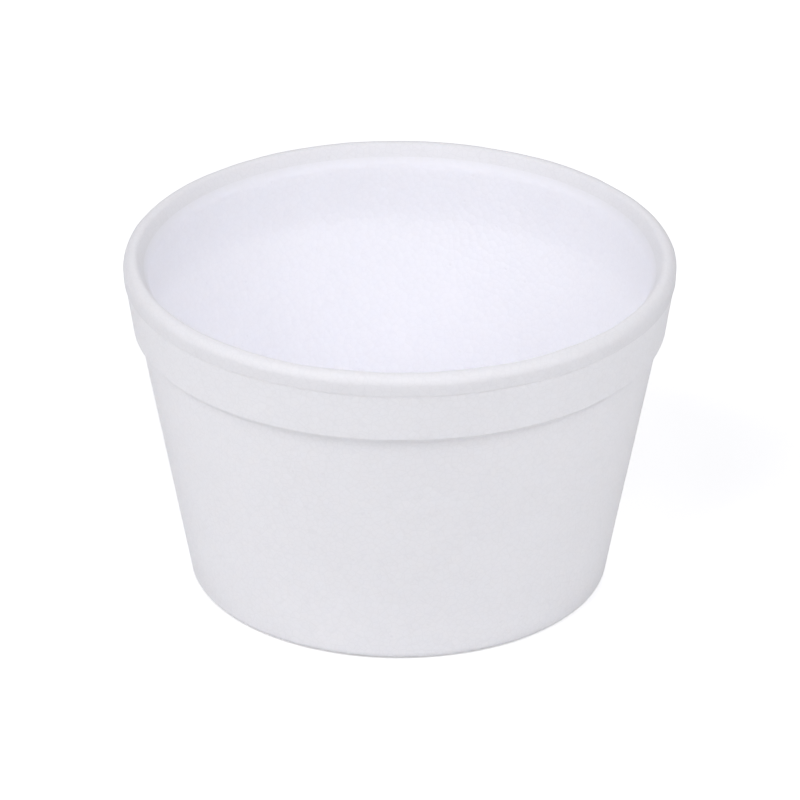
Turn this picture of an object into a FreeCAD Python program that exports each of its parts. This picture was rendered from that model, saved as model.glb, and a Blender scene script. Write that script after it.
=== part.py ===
"""Foam bowl for hot and cold food: one moulding of expanded polystyrene, in millimetres.

The bowl stands on the plane z = 0 and its axis is Z. Its wall is drawn once, as the section from the axis
out to the lip and back down the inside, and turned round the axis. From the top down, the outside has a
rounded lip, a crease for a lid to catch under, a smooth band, a ledge where the band steps in, and a plain
wall that tapers to the foot. The inside has a seat that slopes in from the mouth, a thick collar behind the
band, and a wall of even thickness down to the floor. The foot is a ring round a shallow recess, with the mark
of the mould's filling plug at its middle.
"""

import FreeCAD, Part
import math
import os

import Sketcher

PARTS_FOLDER = "parts"

# Every driving size, written once: its alias in the spreadsheet, its value and what it measures.
SIZES = [
    ("overall_height", 70.4, "table to the top of the lip"),
    ("rim_diameter", 112.0, "widest part of the lip"),
    ("base_diameter", 84.4, "sides of the wall carried down to the table"),
    ("wall_thickness", 2.4, "square to the tapered wall"),
    ("floor_thickness", 3.4, "table to the floor inside"),
    ("lip_thickness", 2.65, "widest part of the lip in to the mouth"),
    ("lip_depth", 4.2, "top of the lip down to its crease"),
    ("lip_round", 2.0, "radius of the lip's outer top edge"),
    ("lip_draft", 3.0, "degrees that the lip's face leans in towards its crease"),
    ("mouth_round", 0.6, "radius of the lip's inner top edge"),
    ("crease_step", 0.22, "how far the lip stands out from the band"),
    ("crease_depth", 0.4, "height of the slope between the lip and the band"),
    ("crease_round", 0.25, "radius of the hollow under the crease"),
    ("band_depth", 10.2, "crease down to the ledge"),
    ("band_draft", 9.0, "degrees that the band leans in towards the ledge"),
    ("ledge_step", 1.35, "how far the ledge steps in"),
    ("ledge_depth", 1.1, "height of the ledge's slope"),
    ("ledge_round", 0.5, "radius of the ledge's outer edge"),
    ("ledge_hollow", 1.6, "radius where the ledge runs into the wall"),
    ("seat_width", 2.45, "how far the seat slopes in from the mouth"),
    ("seat_depth", 4.0, "height of the seat's slope"),
    ("seat_round", 0.8, "radius of the seat's lower edge"),
    ("collar_round", 12.0, "radius where the collar runs into the wall"),
    ("foot_round", 2.2, "radius of the outer corner of the foot"),
    ("floor_round", 5.0, "radius of the corner between floor and wall"),
    ("foot_width", 5.0, "width of the foot ring, with its outer corner"),
    ("recess_depth", 1.2, "how far the recess goes up inside the foot ring"),
    ("recess_slope", 1.0, "how far the side of the recess leans in"),
    ("recess_round", 0.5, "radius of the recess's two edges"),
    ("plug_diameter", 9.0, "mark of the filling plug"),
    ("plug_height", 0.35, "how far that mark stands out of the recess"),
]

# The corners of the wall's section in order, starting on the axis at the table. The edge that leaves
# "lip_side" is the arc over the lip's outer top edge. Every other edge is straight.
SECTION_CORNERS = [
    "axis_bottom",
    "foot_corner",
    "ledge_root",
    "ledge_edge",
    "band_top",
    "lip_bottom",
    "lip_side",
    "lip_top",
    "mouth",
    "seat_foot",
    "collar_foot",
    "floor_corner",
    "axis_floor",
]

# Each corner that is rounded on the solid, with the size that is its radius, in the order of the fillets.
# The foot of the collar turns too little for such a fillet, and is rounded in the section itself.
ROUNDED_CORNERS = {
    "ledge_root": "ledge_hollow",
    "ledge_edge": "ledge_round",
    "band_top": "crease_round",
    "mouth": "mouth_round",
    "seat_foot": "seat_round",
    "floor_corner": "floor_round",
    "foot_corner": "foot_round",
}

START = 1
END = 2
CENTRE = 3
SHEET_ORIGIN = (-1, 1)
HORIZONTAL_AXIS = -1
RING_TOLERANCE = 1e-4


def make_sheet(doc):
    """Write the sizes into a spreadsheet, one alias a row, and give it back."""
    sheet = doc.addObject("Spreadsheet::Sheet", "Sizes")
    for row, (alias, value, meaning) in enumerate(SIZES, start=1):
        sheet.set(f"A{row}", str(value))
        sheet.setAlias(f"A{row}", alias)
        sheet.set(f"B{row}", meaning)
    doc.recompute()
    return sheet


def new_sketch(body, name, role):
    """Add a sketch to the body on the one of its origin planes that has this role."""
    plane = next(item for item in body.Origin.OriginFeatures if item.Role == role)
    sketch = body.newObject("Sketcher::SketchObject", name)
    sketch.AttachmentSupport = [(plane, "")]
    sketch.MapMode = "FlatFace"
    return sketch


def bind(sketch, name, constraint, expression):
    """Add a constraint to the sketch, name it and tie its value to the spreadsheet."""
    index = sketch.addConstraint(constraint)
    sketch.renameConstraint(index, name)
    sketch.setExpression(f"Constraints.{name}", expression)


def across(sketch, name, near, far, expression):
    """Set how much further from the axis one point lies than another."""
    span = sketch.getPoint(*far).x - sketch.getPoint(*near).x
    bind(sketch, name, Sketcher.Constraint("DistanceX", *near, *far, span), expression)


def upwards(sketch, name, low, high, expression):
    """Set how much higher one point lies than another."""
    span = sketch.getPoint(*high).y - sketch.getPoint(*low).y
    bind(sketch, name, Sketcher.Constraint("DistanceY", *low, *high, span), expression)


def lean(sketch, name, line, degrees):
    """Set how many degrees a line that runs upwards leans out from the axis."""
    angle = Sketcher.Constraint("Angle", HORIZONTAL_AXIS, START, line, START, math.pi / 2)
    bind(sketch, name, angle, f"90 deg - {degrees} * 1 deg")


def draw_outline(sketch, corners, arc_from=None):
    """Draw a closed outline through named corners, and give the number of the edge that leaves each one.

    The edge that leaves the corner named arc_from is a quarter circle that bulges out and up, and runs
    smoothly into its neighbours. All the other edges are straight.
    """
    names = list(corners)
    followers = names[1:] + names[:1]
    edges = {}
    for name, follower in zip(names, followers):
        start = FreeCAD.Vector(*corners[name], 0)
        end = FreeCAD.Vector(*corners[follower], 0)
        shape = Part.LineSegment(start, end)
        if name == arc_from:
            centre = FreeCAD.Vector(end.x, start.y, 0)
            circle = Part.Circle(centre, FreeCAD.Vector(0, 0, 1), start.x - end.x)
            shape = Part.ArcOfCircle(circle, 0, math.pi / 2)
        edges[name] = sketch.addGeometry(shape, False)
    for name, follower in zip(names, followers):
        kind = "Tangent" if arc_from in (name, follower) else "Coincident"
        sketch.addConstraint(Sketcher.Constraint(kind, edges[name], END, edges[follower], START))
    return edges


def round_corner(sketch, edge, name, radius, expression):
    """Round a corner of the outline with an arc, and give the point that stays where the corner was.

    The arc comes out on whichever side the corner turns to, and slight turns are rounded as well.
    """
    sketch.fillet(edge[name], START, radius, True, True)
    arc, corner = sketch.GeometryCount - 2, sketch.GeometryCount - 1
    bind(sketch, f"{name}_radius", Sketcher.Constraint("Radius", arc, radius), expression)
    return (corner, START)


def first_places(sheet):
    """Work out a first place for each corner of the section, from which the solver settles."""
    top = sheet.overall_height
    rim = sheet.rim_diameter / 2
    foot = sheet.base_diameter / 2
    band_lean = math.tan(math.radians(sheet.band_draft))
    lip_bottom = top - sheet.lip_depth
    band_top = lip_bottom - sheet.crease_depth
    ledge_edge = band_top - sheet.band_depth
    ledge_root = ledge_edge - sheet.ledge_depth
    band_radius = rim - sheet.crease_step
    edge_radius = band_radius - sheet.band_depth * band_lean
    root_radius = edge_radius - sheet.ledge_step
    mouth = rim - sheet.lip_thickness
    places = [
        (0, 0),
        (foot, 0),
        (root_radius, ledge_root),
        (edge_radius, ledge_edge),
        (band_radius, band_top),
        (rim, lip_bottom),
        (rim, top - sheet.lip_round),
        (rim - sheet.lip_round, top),
        (mouth, top),
        (mouth - sheet.seat_width, top - sheet.seat_depth),
        (root_radius - sheet.wall_thickness, ledge_root),
        (foot - sheet.wall_thickness, sheet.floor_thickness),
        (0, sheet.floor_thickness),
    ]
    return dict(zip(SECTION_CORNERS, places))


def draw_section(body, sheet):
    """Draw the section of the whole wall, from the axis out to the lip and back along the inside."""
    sketch = new_sketch(body, "wall_section", "XZ_Plane")
    edge = draw_outline(sketch, first_places(sheet), arc_from="lip_side")
    at = {name: (number, START) for name, number in edge.items()}
    at["collar_foot"] = round_corner(sketch, edge, "collar_foot", sheet.collar_round, "Sizes.collar_round")
    nose = (edge["lip_side"], CENTRE)

    sketch.addConstraint(Sketcher.Constraint("Coincident", *at["axis_bottom"], *SHEET_ORIGIN))
    for name in ("axis_bottom", "lip_top", "floor_corner"):
        sketch.addConstraint(Sketcher.Constraint("Horizontal", edge[name]))
    sketch.addConstraint(Sketcher.Constraint("Vertical", edge["axis_floor"]))

    across(sketch, "base_radius", SHEET_ORIGIN, at["foot_corner"], "Sizes.base_diameter / 2")
    upwards(sketch, "top_height", SHEET_ORIGIN, at["lip_top"], "Sizes.overall_height")
    upwards(sketch, "floor_height", SHEET_ORIGIN, at["axis_floor"], "Sizes.floor_thickness")

    across(sketch, "nose_radius", SHEET_ORIGIN, nose, "Sizes.rim_diameter / 2 - Sizes.lip_round")
    round_top = Sketcher.Constraint("Radius", edge["lip_side"], sheet.lip_round)
    bind(sketch, "lip_round", round_top, "Sizes.lip_round")
    lean(sketch, "lip_draft", edge["lip_bottom"], "Sizes.lip_draft")
    upwards(sketch, "lip_depth", at["lip_bottom"], at["lip_top"], "Sizes.lip_depth")
    across(sketch, "mouth_radius", SHEET_ORIGIN, at["mouth"], "Sizes.rim_diameter / 2 - Sizes.lip_thickness")

    across(sketch, "crease_step", at["band_top"], at["lip_bottom"], "Sizes.crease_step")
    upwards(sketch, "crease_depth", at["band_top"], at["lip_bottom"], "Sizes.crease_depth")
    lean(sketch, "band_draft", edge["ledge_edge"], "Sizes.band_draft")
    upwards(sketch, "band_depth", at["ledge_edge"], at["band_top"], "Sizes.band_depth")
    across(sketch, "ledge_step", at["ledge_root"], at["ledge_edge"], "Sizes.ledge_step")
    upwards(sketch, "ledge_depth", at["ledge_root"], at["ledge_edge"], "Sizes.ledge_depth")

    across(sketch, "seat_width", at["seat_foot"], at["mouth"], "Sizes.seat_width")
    upwards(sketch, "seat_depth", at["seat_foot"], at["mouth"], "Sizes.seat_depth")
    # The collar ends level with the ledge, and from there down the inside runs beside the outside.
    sketch.addConstraint(Sketcher.Constraint("Horizontal", *at["ledge_root"], *at["collar_foot"]))
    sketch.addConstraint(Sketcher.Constraint("Parallel", edge["collar_foot"], edge["foot_corner"]))
    gap = Sketcher.Constraint("Distance", *at["collar_foot"], edge["foot_corner"], sheet.wall_thickness)
    bind(sketch, "wall_thickness", gap, "Sizes.wall_thickness")
    return sketch


def draw_recess(body, sheet):
    """Draw the section of the recess inside the foot ring."""
    ring = sheet.base_diameter / 2 - sheet.foot_width
    corners = {
        "middle": (0, 0),
        "ring": (ring, 0),
        "ceiling": (ring - sheet.recess_slope, sheet.recess_depth),
        "axis": (0, sheet.recess_depth),
    }
    sketch = new_sketch(body, "recess_section", "XZ_Plane")
    edge = draw_outline(sketch, corners)
    at = {name: (number, START) for name, number in edge.items()}
    sketch.addConstraint(Sketcher.Constraint("Coincident", *at["middle"], *SHEET_ORIGIN))
    for name in ("middle", "ceiling"):
        sketch.addConstraint(Sketcher.Constraint("Horizontal", edge[name]))
    sketch.addConstraint(Sketcher.Constraint("Vertical", edge["axis"]))
    across(sketch, "ring_radius", SHEET_ORIGIN, at["ring"], "Sizes.base_diameter / 2 - Sizes.foot_width")
    across(sketch, "recess_slope", at["ceiling"], at["ring"], "Sizes.recess_slope")
    upwards(sketch, "recess_depth", at["ring"], at["ceiling"], "Sizes.recess_depth")
    return sketch


def turn(body, kind, name, sketch):
    """Turn a section once round the body's axis, as a Revolution or as a Groove."""
    feature = body.newObject(f"PartDesign::{kind}", name)
    feature.Profile = sketch
    feature.ReferenceAxis = (sketch, ["V_Axis"])
    feature.Angle = 360
    body.Document.recompute()
    return feature


def rings_at(feature, places):
    """Name the feature's circular edges that run round the axis through the given places of a section."""
    found = []
    for number, edge in enumerate(feature.Shape.Edges, start=1):
        if isinstance(edge.Curve, Part.Circle):
            ring = FreeCAD.Vector(edge.Curve.Radius, edge.Curve.Center.z, 0)
            if any(ring.isEqual(place, RING_TOLERANCE) for place in places):
                found.append(f"Edge{number}")
    if len(found) != len(places):
        raise RuntimeError(f"{feature.Name}: {len(found)} rings found where {len(places)} were meant")
    return found


def round_rings(body, size, base, places):
    """Fillet the rings that pass through the given places, with a radius from the spreadsheet."""
    feature = body.newObject("PartDesign::Fillet", f"{size}_fillet")
    feature.Base = (base, rings_at(base, places))
    feature.setExpression("Radius", f"Sizes.{size}")
    body.Document.recompute()
    return feature


def cut_recess(body, sheet, base):
    """Cut the recess out of the foot and round its two edges."""
    sketch = draw_recess(body, sheet)
    recess = turn(body, "Groove", "foot_recess", sketch)
    if recess.Shape.Volume >= base.Shape.Volume:
        raise RuntimeError("the recess cuts nothing")
    ring, ceiling = sketch.getPoint(1, START), sketch.getPoint(2, START)
    return round_rings(body, "recess_round", recess, [ring, ceiling])


def add_plug_mark(body, sheet):
    """Add the round mark of the filling plug. It stands down from the recess and stays clear of the table."""
    sketch = new_sketch(body, "plug_circle", "XY_Plane")
    sketch.setExpression("AttachmentOffset.Base.z", "Sizes.recess_depth - Sizes.plug_height")
    radius = sheet.plug_diameter / 2
    circle = Part.Circle(FreeCAD.Vector(0, 0, 0), FreeCAD.Vector(0, 0, 1), radius)
    ring = sketch.addGeometry(circle, False)
    sketch.addConstraint(Sketcher.Constraint("Coincident", ring, CENTRE, *SHEET_ORIGIN))
    bind(sketch, "plug_radius", Sketcher.Constraint("Radius", ring, radius), "Sizes.plug_diameter / 2")
    mark = body.newObject("PartDesign::Pad", "plug_mark")
    mark.Profile = sketch
    # The pad reaches half way up into the floor, so that the two are one solid.
    mark.setExpression("Length", "Sizes.plug_height + (Sizes.floor_thickness - Sizes.recess_depth) / 2")
    body.Document.recompute()
    return mark


def make_bowl(doc, sheet):
    """Build the bowl: the turned wall, its rounded edges, the recess in the foot and the plug mark."""
    body = doc.addObject("PartDesign::Body", "bowl")
    body.Label = "bowl"
    body.Placement = FreeCAD.Placement()
    doc.recompute()
    section = draw_section(body, sheet)
    shape = turn(body, "Revolution", "turned_wall", section)
    for name, size in ROUNDED_CORNERS.items():
        place = section.getPoint(SECTION_CORNERS.index(name), START)
        shape = round_rings(body, size, shape, [place])
    cut_recess(body, sheet, shape)
    add_plug_mark(body, sheet)
    return body


def check_document(doc, bodies):
    """Stop if an object failed, a sketch is loose or a body isn't one valid solid."""
    for item in doc.Objects:
        if "Invalid" in item.State or "Error" in item.State:
            raise RuntimeError(f"{item.Name} failed: {item.State}")
        if item.isDerivedFrom("Sketcher::SketchObject") and not item.FullyConstrained:
            raise RuntimeError(f"{item.Name} isn't fully constrained")
    for body in bodies:
        if body.Shape.isNull() or not body.Shape.isValid() or len(body.Shape.Solids) != 1:
            raise RuntimeError(f"{body.Label} isn't one valid solid")


def main():
    """Make the document, build the bowl, check it and write its file."""
    doc = FreeCAD.newDocument("foam_bowl")
    sheet = make_sheet(doc)
    bodies = [make_bowl(doc, sheet)]
    doc.recompute()
    check_document(doc, bodies)
    os.makedirs(PARTS_FOLDER, exist_ok=True)
    for body in bodies:
        body.Shape.exportStep(f"{PARTS_FOLDER}/{body.Label}.step")
        box = body.Shape.optimalBoundingBox()
        size = f"{box.XLength:.2f} x {box.YLength:.2f} x {box.ZLength:.2f} mm"
        print(f"{body.Label}: {size}, {body.Shape.Volume / 1000:.2f} ml of foam")


main()
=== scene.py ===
"""A one-piece foam bowl on a pale floor under soft studio light, built round its CAD frame.

The bowl is turned from the section of its wall, as its mould is, and then given the slight unevenness of
moulded foam. Its finish shows the beads that the foam is made of: flattened cells with fine seams between
them, broad patches where the skin is more or less glossy, and a few open pits. Lengths are in metres.
"""

import logging
import math
from dataclasses import dataclass, field
from enum import Enum
from functools import reduce
from typing import ClassVar

import bmesh
import bpy
from mathutils import Euler, Matrix, Vector, noise

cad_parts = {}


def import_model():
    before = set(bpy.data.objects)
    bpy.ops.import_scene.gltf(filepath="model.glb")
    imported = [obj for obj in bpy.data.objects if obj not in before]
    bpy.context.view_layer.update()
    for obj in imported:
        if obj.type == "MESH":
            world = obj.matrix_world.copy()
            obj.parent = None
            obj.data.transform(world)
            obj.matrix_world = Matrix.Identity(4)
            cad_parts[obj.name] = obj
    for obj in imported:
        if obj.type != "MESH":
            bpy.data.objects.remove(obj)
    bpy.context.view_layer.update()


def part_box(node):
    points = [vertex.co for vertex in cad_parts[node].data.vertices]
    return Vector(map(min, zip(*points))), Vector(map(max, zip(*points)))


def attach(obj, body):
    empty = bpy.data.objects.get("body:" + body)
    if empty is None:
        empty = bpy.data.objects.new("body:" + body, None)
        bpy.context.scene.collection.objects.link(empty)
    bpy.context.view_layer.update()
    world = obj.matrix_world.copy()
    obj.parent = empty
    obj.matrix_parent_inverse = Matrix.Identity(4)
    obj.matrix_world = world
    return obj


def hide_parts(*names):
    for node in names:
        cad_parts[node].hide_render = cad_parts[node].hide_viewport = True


LOG = logging.getLogger("foam_bowl")


class Zone(Enum):
    """The parts of the moulding that take their own material: copies of one foam whose colours carry painted
    light and shade. Each value is a material's number.
    """

    OUTSIDE = 0
    INSIDE = 1
    LIP = 2
    UNDERSIDE = 3


class Socket(Enum):
    """The kinds of socket that the node groups have."""

    NUMBER = "NodeSocketFloat"
    VECTOR = "NodeSocketVector"


Value = bpy.types.NodeSocket | float | tuple[float, float, float]


# Node groups


@dataclass
class Bench:
    """A node tree, with short ways to add the nodes that the effects and the finishes are made of."""

    tree: bpy.types.NodeTree

    def add(self, kind: str) -> bpy.types.Node:
        """Add a node of the kind that Blender names."""
        return self.tree.nodes.new(kind)

    def feed(self, socket: bpy.types.NodeSocket, value: Value) -> None:
        """Join a socket to another, or set it to a plain number or colour.

        Args:
            socket: the input to feed.
            value: the output that feeds it, or the plain value that it takes.
        """
        if isinstance(value, bpy.types.NodeSocket):
            self.tree.links.new(value, socket)
        elif isinstance(value, tuple):
            socket.default_value = (*value, 1.0)
        else:
            socket.default_value = value

    def math(self, operation: str, first: Value, second: Value, clamp: bool = False) -> bpy.types.NodeSocket:
        """Add a Math node.

        Args:
            operation: what the node does, as Blender names it.
            first: its first number.
            second: its second number.
            clamp: whether the result is held between 0 and 1.

        Returns:
            The node's result.
        """
        node = self.add("ShaderNodeMath")
        node.operation = operation
        node.use_clamp = clamp
        self.feed(node.inputs[0], first)
        self.feed(node.inputs[1], second)
        return node.outputs[0]

    def spread(self, value: Value, low: Value, high: Value, smooth: bool = True) -> bpy.types.NodeSocket:
        """Stretch the part of a value between low and high over 0 to 1.

        Args:
            value: the value to stretch.
            low: where it becomes 0.
            high: where it becomes 1.
            smooth: whether the ends are eased.

        Returns:
            The stretched value.
        """
        node = self.add("ShaderNodeMapRange")
        node.interpolation_type = "SMOOTHSTEP" if smooth else "LINEAR"
        self.feed(node.inputs["From Min"], low)
        self.feed(node.inputs["From Max"], high)
        self.feed(node.inputs["Value"], value)
        return node.outputs["Result"]

    def fall(self, value: Value, low: float, high: float) -> bpy.types.NodeSocket:
        """Give 1 where a value is under low, 0 where it is over high, and an eased fall between them."""
        return self.math("MULTIPLY", self.math("SUBTRACT", self.spread(value, low, high), 1.0), -1.0, clamp=True)

    def blend(self, factor: bpy.types.NodeSocket, first: Value, second: Value) -> bpy.types.NodeSocket:
        """Add a Mix node between two colours.

        Args:
            factor: how much of the second colour there is.
            first: the first colour, plain or from a socket.
            second: the second colour, plain or from a socket.

        Returns:
            The mixed colour.
        """
        node = self.add("ShaderNodeMix")
        node.data_type = "RGBA"
        self.feed(node.inputs["Factor"], factor)
        for socket, value in zip((end for end in node.inputs if end.type == "RGBA"), (first, second)):
            self.feed(socket, value)
        return next(end for end in node.outputs if end.type == "RGBA")


class EffectGroup(Bench):
    """A node group that gives masks and heights to every finish, made once and used by name."""

    title: ClassVar[str] = ""
    inputs: ClassVar[dict[str, tuple[Socket, float]]] = {}
    outputs: ClassVar[tuple[str, ...]] = ()

    def __init__(self) -> None:
        """Make the group with its sockets, and wire its effect."""
        super().__init__(bpy.data.node_groups.new(self.title, "ShaderNodeTree"))
        for name, (kind, start) in self.inputs.items():
            socket = self.tree.interface.new_socket(name, in_out="INPUT", socket_type=kind.value)
            if kind is Socket.NUMBER:
                socket.default_value = start
        for name in self.outputs:
            self.tree.interface.new_socket(name, in_out="OUTPUT", socket_type=Socket.NUMBER.value)
        self.given = self.add("NodeGroupInput").outputs
        result = self.add("NodeGroupOutput").inputs
        for name, value in self.wire().items():
            self.feed(result[name], value)

    def wire(self) -> dict[str, bpy.types.NodeSocket]:
        """Add the nodes of the effect. Each kind of group has its own.

        Returns:
            What each output of the group shows.
        """
        return {}


class BeadCells(EffectGroup):
    """The pressed-together beads of the foam: a seam, a tone and a dome for each, and a few open pits.

    Sizes are in parts of a bead.
    """

    title = "bead cells"
    inputs = {"Place": (Socket.VECTOR, 0.0), "Beads per Metre": (Socket.NUMBER, 800.0)}
    outputs = ("Seam", "Tone", "Dome", "Pits")
    seam_width: ClassVar[float] = 0.11
    pit_core: ClassVar[float] = 0.10
    pit_rim: ClassVar[float] = 0.34
    sound_share: ClassVar[float] = 0.95

    def wire(self) -> dict[str, bpy.types.NodeSocket]:
        """Read a Voronoi pattern that runs through the whole moulding.

        Returns:
            What each output of the group shows.
        """
        cells = self.add("ShaderNodeTexVoronoi")
        cells.feature = "F1"
        edges = self.add("ShaderNodeTexVoronoi")
        edges.feature = "DISTANCE_TO_EDGE"
        for pattern in (cells, edges):
            self.feed(pattern.inputs["Vector"], self.given["Place"])
            self.feed(pattern.inputs["Scale"], self.given["Beads per Metre"])
        chance = self.add("ShaderNodeSeparateColor")
        self.feed(chance.inputs["Color"], cells.outputs["Color"])
        middle = self.math("MULTIPLY", cells.outputs["Distance"], cells.outputs["Distance"])
        pitted = self.math("GREATER_THAN", chance.outputs["Green"], self.sound_share)
        spots = self.fall(cells.outputs["Distance"], self.pit_core, self.pit_rim)
        return {
            "Seam": self.fall(edges.outputs["Distance"], 0.0, self.seam_width),
            "Tone": chance.outputs["Red"],
            "Dome": self.math("SUBTRACT", self.math("MULTIPLY", middle, -1.0), -1.0),
            "Pits": self.math("MULTIPLY", spots, pitted),
        }


class MouldedSkin(EffectGroup):
    """What the mould leaves on the foam: fine grain and broad patches; and a rise towards the rim, which fades
    the inside's colour into a painted shade.
    """

    title = "moulded skin"
    inputs = {
        "Place": (Socket.VECTOR, 0.0),
        "Grain per Metre": (Socket.NUMBER, 3200.0),
        "Patches per Metre": (Socket.NUMBER, 55.0),
        "Rim Start": (Socket.NUMBER, 0.0650),
        "Rim End": (Socket.NUMBER, 0.0686),
    }
    outputs = ("Grain", "Patches", "Rim")
    grain_range: ClassVar[tuple[float, float]] = (0.3, 0.7)
    patch_range: ClassVar[tuple[float, float]] = (0.32, 0.68)

    def cloud(self, density: str, detail: float, roughness: float) -> bpy.types.NodeSocket:
        """Add a noise.

        Args:
            density: the input of the group that says how many of its lumps there are per metre.
            detail: how many finer layers it has.
            roughness: how strong they are.

        Returns:
            The noise's value.
        """
        node = self.add("ShaderNodeTexNoise")
        node.inputs["Detail"].default_value = detail
        node.inputs["Roughness"].default_value = roughness
        self.feed(node.inputs["Vector"], self.given["Place"])
        self.feed(node.inputs["Scale"], self.given[density])
        return node.outputs["Fac"]

    def wire(self) -> dict[str, bpy.types.NodeSocket]:
        """Add a fine and a broad noise, and a slow rise with height.

        Returns:
            What each output of the group shows.
        """
        grain = self.cloud("Grain per Metre", detail=1.0, roughness=0.6)
        patches = self.cloud("Patches per Metre", detail=2.0, roughness=0.55)
        place = self.add("ShaderNodeSeparateXYZ")
        self.feed(place.inputs[0], self.given["Place"])
        return {
            "Grain": self.spread(grain, *self.grain_range, smooth=False),
            "Patches": self.spread(patches, *self.patch_range),
            "Rim": self.spread(place.outputs["Z"], self.given["Rim Start"], self.given["Rim End"]),
        }


# Finishes


@dataclass(frozen=True)
class FoamFinish:
    """White expanded polystyrene as it leaves the mould.

    Shades are how much darker a feature is than the foam, and heights are how far it stands out.
    The inside's colours are a lighter copy of the foam's, painted light, and the lip's a darker one, painted
    shade.
    """

    title: str
    colour: tuple[float, float, float] = (0.890, 0.888, 0.898)
    seam_colour: tuple[float, float, float] = (0.805, 0.803, 0.815)
    rim_painted_shade: tuple[float, float, float] | None = None
    seam_shade: float = 0.30
    tone_shade: float = 0.10
    patch_shade: float = 0.10
    gloss_roughness: float = 0.42
    dull_roughness: float = 0.60
    beads_per_metre: float = 760.0
    dome_height: float = 0.00006
    grain_height: float = 0.000004
    pit_height: float = 0.00006
    glow: float = 0.5
    glow_depth: float = 0.0016
    glow_tint: tuple[float, float, float] = (1.0, 0.95, 0.9)
    refraction: float = 1.45

    def make(self, beads: BeadCells, skin: MouldedSkin) -> bpy.types.Material:
        """Make the material.

        Args:
            beads: the group that gives the bead pattern and its pits.
            skin: the group that gives grain, patches and the rise towards the rim.

        Returns:
            The new material.
        """
        material = bpy.data.materials.new(self.title)
        material.use_nodes = True
        bench = Bench(material.node_tree)
        shader = material.node_tree.nodes["Principled BSDF"].inputs
        shader["IOR"].default_value = self.refraction
        shader["Subsurface Weight"].default_value = self.glow
        shader["Subsurface Radius"].default_value = self.glow_tint
        shader["Subsurface Scale"].default_value = self.glow_depth

        place = bench.add("ShaderNodeTexCoord").outputs["Object"]
        bead, face = (bench.add("ShaderNodeGroup") for _ in range(2))
        for node, effect in ((bead, beads), (face, skin)):
            node.node_tree = effect.tree
            bench.feed(node.inputs["Place"], place)
        bead.inputs["Beads per Metre"].default_value = self.beads_per_metre

        def total(*parts: tuple[bpy.types.NodeSocket, float]) -> bpy.types.NodeSocket:
            """Add up sockets, each times its own amount."""
            amounts = [bench.math("MULTIPLY", socket, amount) for socket, amount in parts]
            return reduce(lambda first, second: bench.math("ADD", first, second), amounts)

        shade = total((bead.outputs["Seam"], self.seam_shade), (bead.outputs["Tone"], self.tone_shade),
                      (face.outputs["Patches"], self.patch_shade), (bead.outputs["Pits"], self.seam_shade))
        colour = self.colour
        # Towards the rim the colour fades to the rim colour: a darker painted shade.
        if self.rim_painted_shade is not None:
            colour = bench.blend(face.outputs["Rim"], self.colour, self.rim_painted_shade)
        bench.feed(shader["Base Color"], bench.blend(shade, colour, self.seam_colour))

        roughness = bench.add("ShaderNodeMapRange")
        roughness.inputs["To Min"].default_value = self.gloss_roughness
        roughness.inputs["To Max"].default_value = self.dull_roughness
        bench.feed(roughness.inputs["Value"], face.outputs["Patches"])
        bench.feed(shader["Roughness"], roughness.outputs["Result"])

        bump = bench.add("ShaderNodeBump")
        bump.inputs["Distance"].default_value = 1.0
        bump.inputs["Strength"].default_value = 1.0
        bench.feed(bump.inputs["Height"], total((bead.outputs["Dome"], self.dome_height),
                                                (face.outputs["Grain"], self.grain_height),
                                                (bead.outputs["Pits"], -self.pit_height)))
        bench.feed(shader["Normal"], bump.outputs["Normal"])
        return material


# The bowl


@dataclass
class Corner:
    """One corner of the wall's section: its distance from the axis, its height and its radius."""

    out: float
    up: float
    radius: float = 0.0


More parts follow.
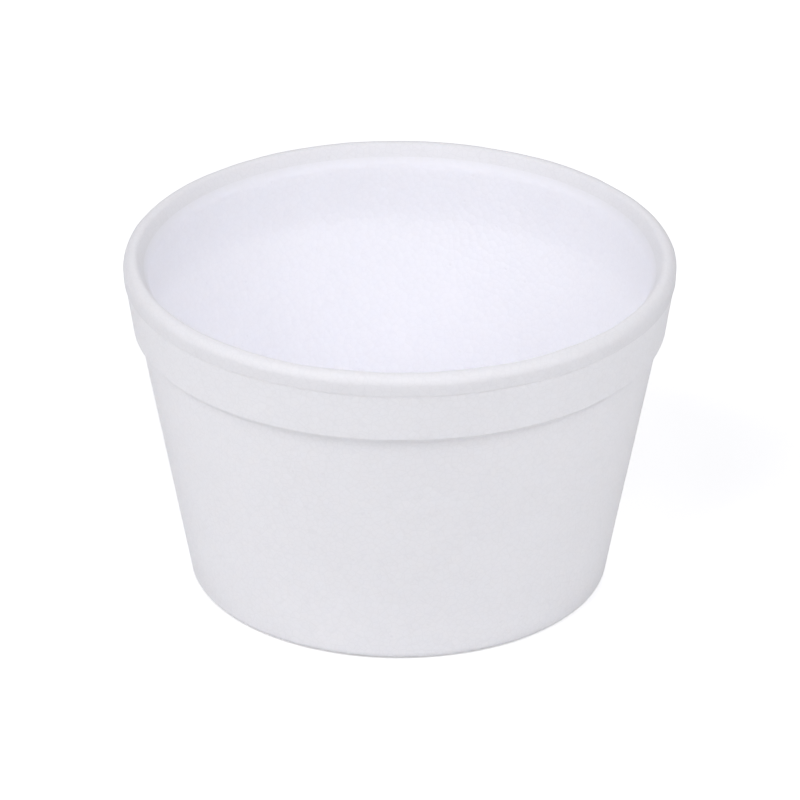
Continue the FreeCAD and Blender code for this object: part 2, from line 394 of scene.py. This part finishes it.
@dataclass
class Bowl:
    """The one-piece moulding. The rim and the height come from the frame's box.

    The mouth and the foot of the seat are rounded a little more than on the frame's solid, as foam has no
    crisp edges.
    """

    low: Vector
    high: Vector
    base_radius: float = 0.0422
    wall: float = 0.0024
    floor: float = 0.0034
    lip_thickness: float = 0.00265
    lip_depth: float = 0.0042
    lip_round: float = 0.0020
    lip_lean: float = math.radians(3.0)
    mouth_round: float = 0.0011
    crease_step: float = 0.00022
    crease_depth: float = 0.0004
    crease_round: float = 0.00025
    band_depth: float = 0.0102
    band_lean: float = math.radians(9.0)
    ledge_step: float = 0.00135
    ledge_depth: float = 0.0011
    ledge_round: float = 0.0005
    ledge_hollow: float = 0.0016
    seat_width: float = 0.00245
    seat_depth: float = 0.0040
    seat_round: float = 0.0030
    collar_round: float = 0.012
    foot_round: float = 0.0022
    floor_round: float = 0.0050
    foot_width: float = 0.0050
    recess_depth: float = 0.0012
    recess_slope: float = 0.0010
    recess_round: float = 0.0005
    plug_radius: float = 0.0045
    plug_height: float = 0.00035
    plug_round: float = 0.00015
    lip_turn: float = 0.5
    longest_edge: float = 0.0015
    corner_step: float = 7.0
    fewest_corner_steps: int = 4
    turning_steps: int = 288
    merge_distance: float = 1e-7
    ripple: float = 0.00007
    lip_ripple: float = 0.00006
    lip_reach: float = 3.0
    waves_per_metre: float = 60.0
    fine_waves_per_metre: float = 170.0
    fine_wave_share: float = 0.5
    fine_wave_start: tuple[float, float, float] = (7.0, 3.0, 5.0)

    def section(self) -> list[Corner]:
        """List the section's corners, from the axis under the floor, round the lip, to the axis above it.

        Returns:
            The corners in order, with the radius of each.
        """
        top = self.high.z
        rim = (self.high.x - self.low.x) / 2
        nose = rim - self.lip_round
        lip_corner = nose + self.lip_round * math.tan((math.pi / 2 + self.lip_lean) / 2)
        lip_bottom = lip_corner - self.lip_depth * math.tan(self.lip_lean)
        band_out = lip_bottom - self.crease_step
        band_top = top - self.lip_depth - self.crease_depth
        edge_out = band_out - self.band_depth * math.tan(self.band_lean)
        root_out = edge_out - self.ledge_step
        root_up = band_top - self.band_depth - self.ledge_depth
        wall_lean = math.atan2(root_out - self.base_radius, root_up)
        collar_out = root_out - self.wall / math.cos(wall_lean)
        floor_out = collar_out - (root_up - self.floor) * math.tan(wall_lean)
        mouth = rim - self.lip_thickness
        ring = self.base_radius - self.foot_width
        mark = self.recess_depth - self.plug_height
        return [
            Corner(0.0, mark),
            Corner(self.plug_radius, mark, self.plug_round),
            Corner(self.plug_radius, self.recess_depth, self.plug_round),
            Corner(ring - self.recess_slope, self.recess_depth, self.recess_round),
            Corner(ring, 0.0, self.recess_round),
            Corner(self.base_radius, 0.0, self.foot_round),
            Corner(root_out, root_up, self.ledge_hollow),
            Corner(edge_out, root_up + self.ledge_depth, self.ledge_round),
            Corner(band_out, band_top, self.crease_round),
            Corner(lip_bottom, top - self.lip_depth, self.crease_round / 2),
            Corner(lip_corner, top, self.lip_round),
            Corner(mouth, top, self.mouth_round),
            Corner(mouth - self.seat_width, top - self.seat_depth, self.seat_round),
            Corner(collar_out, root_up, self.collar_round),
            Corner(floor_out, self.floor, self.floor_round),
            Corner(0.0, self.floor),
        ]

    def draw(self, mesh: bmesh.types.BMesh) -> None:
        """Draw the section as a chain of edges in the plane y = 0, with its corners rounded.

        Args:
            mesh: the empty mesh to draw in.
        """
        corners = self.section()
        points = [mesh.verts.new((corner.out, 0.0, corner.up)) for corner in corners]
        mesh.faces.new(points)
        for before, here, after in zip(range(len(corners)), range(1, len(corners)), range(2, len(corners))):
            corner = corners[here]
            if corner.radius:
                arriving = points_vector(corners[before], corner)
                leaving = points_vector(corner, corners[after])
                bend = arriving.angle(leaving)
                steps = max(self.fewest_corner_steps, round(math.degrees(bend) / self.corner_step))
                bmesh.ops.bevel(mesh, geom=[points[here]], offset=corner.radius * math.tan(bend / 2),
                                offset_type="OFFSET", affect="VERTICES", segments=steps, profile=0.5,
                                material=-1, clamp_overlap=False)
        axis_edge = [edge for edge in mesh.edges
                     if all(abs(end.co.x) < self.merge_distance for end in edge.verts)]
        bmesh.ops.delete(mesh, geom=mesh.faces[:], context="FACES_ONLY")
        bmesh.ops.delete(mesh, geom=axis_edge, context="EDGES")
        for edge in mesh.edges[:]:
            pieces = math.ceil(edge.calc_length() / self.longest_edge)
            if pieces > 1:
                bmesh.ops.subdivide_edges(mesh, edges=[edge], cuts=pieces - 1)

    def turn(self, mesh: bmesh.types.BMesh) -> None:
        """Turn the section once round the axis and close its two poles.

        Args:
            mesh: the mesh that holds the section.
        """
        bmesh.ops.spin(mesh, geom=mesh.verts[:] + mesh.edges[:], cent=(0, 0, 0), axis=(0, 0, 1),
                       dvec=(0, 0, 0), angle=math.tau, steps=self.turning_steps, use_merge=True,
                       use_duplicate=False)
        bmesh.ops.remove_doubles(mesh, verts=mesh.verts[:], dist=self.merge_distance)
        bmesh.ops.recalc_face_normals(mesh, faces=mesh.faces[:])

    def settle(self, mesh: bmesh.types.BMesh) -> None:
        """Give the moulding the slight unevenness of foam: soft waves, and a lip that isn't quite level.

        Args:
            mesh: the closed mesh of the bowl.
        """
        mesh.normal_update()
        fine_start = Vector(self.fine_wave_start)
        moves = []
        for point in mesh.verts:
            fine_wave = noise.noise(point.co * self.fine_waves_per_metre + fine_start)
            wave = noise.noise(point.co * self.waves_per_metre) + self.fine_wave_share * fine_wave
            near_lip = max(0.0, 1.0 - (self.high.z - point.co.z) / (self.lip_reach * self.lip_depth))
            moves.append(point.normal * wave * (self.ripple + near_lip * self.lip_ripple))
        for point, move in zip(mesh.verts, moves):
            inside_ring = point.co.xy.length < self.base_radius - self.foot_width
            if inside_ring or point.co.z > self.recess_depth / 2:
                point.co += move

    def zone(self, face: bmesh.types.BMFace) -> Zone:
        """Say which finish a face takes.

        Args:
            face: a face of the bowl.

        Returns:
            The zone that it lies in.
        """
        centre = face.calc_center_median()
        outwards = centre.x * face.normal.x + centre.y * face.normal.y > 0.0
        on_top = centre.z > self.high.z - self.lip_round and face.normal.z > self.lip_turn
        if on_top or (outwards and centre.z > self.high.z - self.lip_depth):
            return Zone.LIP
        if face.normal.z < -self.lip_turn and centre.z < self.foot_round:
            return Zone.UNDERSIDE
        return Zone.OUTSIDE if outwards else Zone.INSIDE

    def dress(self, piece: bpy.types.Object) -> None:
        """Give the bowl its finishes, with painted light and shade in the colours of the inside and the lip.

        Args:
            piece: the bowl's object, whose faces already name their zone.
        """
        beads, skin = BeadCells(), MouldedSkin()
        finishes = {
            Zone.OUTSIDE: FoamFinish("foam outside"),
            # The inside's lighter, bluer colour and seam colour are painted light, for the light that bounces
            # about inside the bowl; near the rim it fades to the lip's painted shade.
            Zone.INSIDE: FoamFinish("foam inside with painted light", colour=(0.932, 0.930, 0.972),
                                    seam_colour=(0.865, 0.863, 0.91), rim_painted_shade=(0.815, 0.812, 0.822),
                                    gloss_roughness=0.5, dull_roughness=0.65),
            # The lip's darker colour and seam colour are painted shade: the lip is drawn darker than the rest of
            # the foam, for the lesser light on its top.
            Zone.LIP: FoamFinish("foam lip with painted shade", colour=(0.815, 0.812, 0.822), seam_colour=(0.745, 0.742, 0.755),
                                 dome_height=0.00004, gloss_roughness=0.6, dull_roughness=0.75),
            Zone.UNDERSIDE: FoamFinish("foam underside", dome_height=0.00008, gloss_roughness=0.5),
        }
        for zone in Zone:
            piece.data.materials.append(finishes[zone].make(beads, skin))

    def build(self) -> bpy.types.Object:
        """Make the bowl and hang it on the frame.

        Returns:
            The finished piece.
        """
        mesh = bmesh.new()
        self.draw(mesh)
        self.turn(mesh)
        self.settle(mesh)
        for face in mesh.faces:
            face.smooth = True
            face.material_index = self.zone(face).value
        data = bpy.data.meshes.new("foam_bowl")
        mesh.to_mesh(data)
        mesh.free()
        piece = bpy.data.objects.new("foam_bowl", data)
        bpy.context.collection.objects.link(piece)
        self.dress(piece)
        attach(piece, "root")
        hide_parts("bowl")
        return piece


def points_vector(start: Corner, end: Corner) -> Vector:
    """Give the way from one corner of the section to the next."""
    return Vector((end.out - start.out, end.up - start.up))


# The studio


@dataclass
class Lamp:
    """A soft square light that looks at the bowl. Angles are in degrees."""

    name: str
    azimuth: float
    elevation: float
    power: float
    distance: float = 1.1
    side: float = 0.7
    colour: tuple[float, float, float] = (0.955, 0.952, 1.0)


@dataclass
class Studio:
    """The pale floor, the world, the lamps and the camera."""

    floor_side: float = 8.0
    floor_colour: tuple[float, float, float, float] = (0.80, 0.80, 0.80, 1.0)
    floor_lift: float = 0.45
    world_light: float = 0.20
    lamps: list[Lamp] = field(default_factory=lambda: [
        Lamp("key", azimuth=-40.0, elevation=45.0, power=5.4),
        Lamp("fill", azimuth=40.0, elevation=45.0, power=5.2),
        Lamp("left_side", azimuth=-80.0, elevation=25.0, power=2.4),
        Lamp("right_side", azimuth=80.0, elevation=25.0, power=1.5),
        Lamp("rear", azimuth=180.0, elevation=30.0, power=2.2),
    ])
    camera_distance: float = 2.0376
    camera_elevation: float = math.radians(26.55)
    camera_aim: float = 0.03757
    camera_roll: float = 0.0049
    camera_focal: float = 450.0
    camera_sensor: float = 36.0
    camera_side: float = 0.0001446696

    def lay_floor(self) -> bpy.types.Object:
        """Lay the floor: pale, and lifted to white for the camera except in the bowl's shadow.

        Returns:
            The floor's object.
        """
        mesh = bmesh.new()
        bmesh.ops.create_grid(mesh, x_segments=1, y_segments=1, size=self.floor_side / 2)
        data = bpy.data.meshes.new("studio_floor")
        mesh.to_mesh(data)
        mesh.free()
        floor = bpy.data.objects.new("studio_floor", data)
        bpy.context.collection.objects.link(floor)
        material = bpy.data.materials.new("pale floor")
        material.use_nodes = True
        nodes, links = material.node_tree.nodes, material.node_tree.links
        nodes.clear()
        paint = nodes.new("ShaderNodeBsdfDiffuse")
        paint.inputs["Color"].default_value = self.floor_colour
        lift = nodes.new("ShaderNodeEmission")
        rays = nodes.new("ShaderNodeLightPath")
        strength = nodes.new("ShaderNodeMath")
        strength.operation = "MULTIPLY"
        strength.inputs[1].default_value = self.floor_lift
        links.new(rays.outputs["Is Camera Ray"], strength.inputs[0])
        links.new(strength.outputs[0], lift.inputs["Strength"])
        total = nodes.new("ShaderNodeAddShader")
        links.new(paint.outputs[0], total.inputs[0])
        links.new(lift.outputs[0], total.inputs[1])
        links.new(total.outputs[0], nodes.new("ShaderNodeOutputMaterial").inputs["Surface"])
        data.materials.append(material)
        return floor

    def light_world(self) -> None:
        """Light the world evenly, and show it white to the camera and through transmission."""
        world = bpy.data.worlds.new("studio")
        bpy.context.scene.world = world
        world.use_nodes = True
        nodes, links = world.node_tree.nodes, world.node_tree.links
        background = nodes["Background"]
        background.inputs["Color"].default_value = (1.0, 1.0, 1.0, 1.0)
        rays = nodes.new("ShaderNodeLightPath")
        seen = nodes.new("ShaderNodeMath")
        seen.operation = "MAXIMUM"
        links.new(rays.outputs["Is Camera Ray"], seen.inputs[0])
        links.new(rays.outputs["Is Transmission Ray"], seen.inputs[1])
        strength = nodes.new("ShaderNodeMapRange")
        strength.inputs["To Min"].default_value = self.world_light
        strength.inputs["To Max"].default_value = 1.0
        links.new(seen.outputs[0], strength.inputs["Value"])
        links.new(strength.outputs["Result"], background.inputs["Strength"])

    def hang_lamp(self, lamp: Lamp, target: Vector) -> None:
        """Hang one lamp so that it looks at the bowl.

        Args:
            lamp: its place, size and power.
            target: the point it looks at.
        """
        data = bpy.data.lights.new(lamp.name, "AREA")
        data.shape = "SQUARE"
        data.size = lamp.side
        data.energy = lamp.power
        data.color = lamp.colour
        azimuth, elevation = math.radians(lamp.azimuth), math.radians(lamp.elevation)
        way = Vector((math.sin(azimuth) * math.cos(elevation), -math.cos(azimuth) * math.cos(elevation),
                      math.sin(elevation)))
        light = bpy.data.objects.new(lamp.name, data)
        light.location = target + way * lamp.distance
        light.rotation_euler = (-way).to_track_quat("-Z", "Y").to_euler()
        light.visible_camera = False
        bpy.context.collection.objects.link(light)

    def place_camera(self) -> None:
        """Place the long-lens camera in front of the bowl and above it, and turn it a little about its view."""
        data = bpy.data.cameras.new("camera")
        data.lens = self.camera_focal
        data.sensor_width = self.camera_sensor
        data.clip_start = 0.05
        data.clip_end = 50.0
        camera = bpy.data.objects.new("camera", data)
        camera.location = (self.camera_side, -self.camera_distance * math.cos(self.camera_elevation),
                           self.camera_aim + self.camera_distance * math.sin(self.camera_elevation))
        facing = Euler((math.pi / 2 - self.camera_elevation, 0.0, 0.0)).to_matrix()
        camera.rotation_euler = (facing @ Matrix.Rotation(self.camera_roll, 3, "Z")).to_euler()
        bpy.context.collection.objects.link(camera)
        bpy.context.scene.camera = camera

    def build(self) -> None:
        """Set up the floor, the world, the lamps and the camera."""
        self.lay_floor()
        self.light_world()
        target = Vector((0.0, 0.0, self.camera_aim))
        for lamp in self.lamps:
            self.hang_lamp(lamp, target)
        self.place_camera()
        bpy.context.scene.view_settings.view_transform = "Standard"


def main() -> None:
    """Load the frame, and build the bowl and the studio."""
    logging.basicConfig(level=logging.INFO, format="%(name)s: %(message)s")
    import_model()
    piece = Bowl(*(Vector(corner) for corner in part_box("bowl"))).build()
    LOG.info("%s: %d faces", piece.name, len(piece.data.polygons))
    Studio().build()
    LOG.info("studio: floor, world, lamps and camera")


if __name__ == "__main__":
    main()
